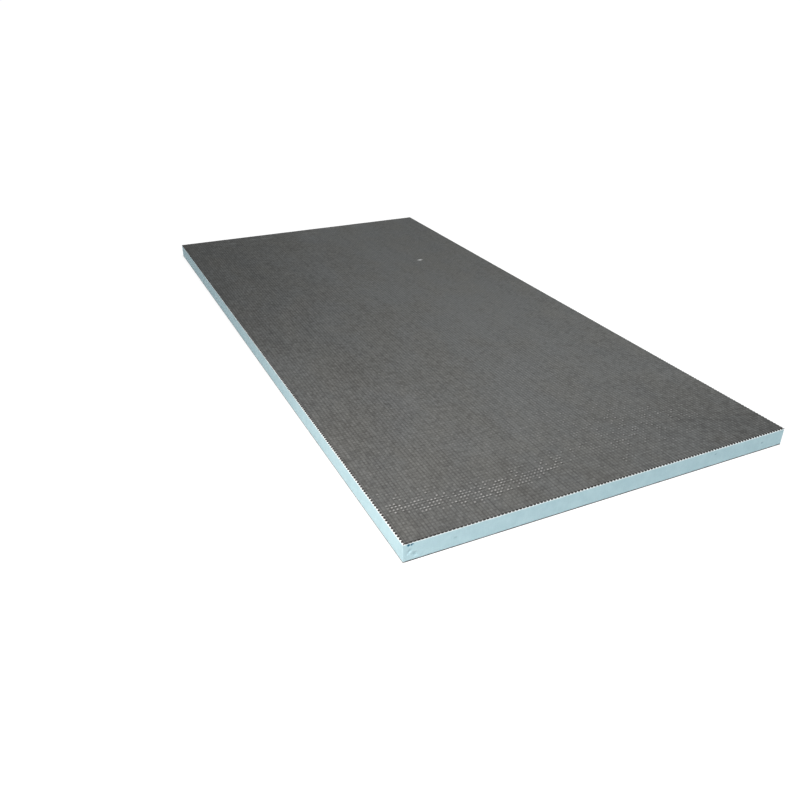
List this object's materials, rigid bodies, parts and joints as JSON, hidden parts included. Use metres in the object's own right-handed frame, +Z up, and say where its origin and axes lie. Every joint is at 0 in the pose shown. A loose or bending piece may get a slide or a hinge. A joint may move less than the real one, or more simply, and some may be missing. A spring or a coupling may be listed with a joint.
{
  "type": "foam tile backer board",
  "caption": "Flat tile backer board: a rigid pale blue foam core faced on both sides with a thin, mesh-reinforced cement mortar coat.",
  "frame": {"origin": "middle of the underside, on the surface that the board lies on", "axes": "+Z up through the thickness, +Y along the length, +X along the width"},
  "size_m": [0.6, 1.2, 0.027],
  "materials": {
    "foam": "sawn closed-cell extruded polystyrene foam, pale blue, matt",
    "mortar": "dry polymer-modified cement mortar over glass fibre mesh, dark warm grey, matt, with the relief of the mesh"
  },
  "bodies": {
    "root": {"foam_core": "foam", "top_coat": "mortar", "bottom_coat": "mortar"}
  },
  "joints": []
}
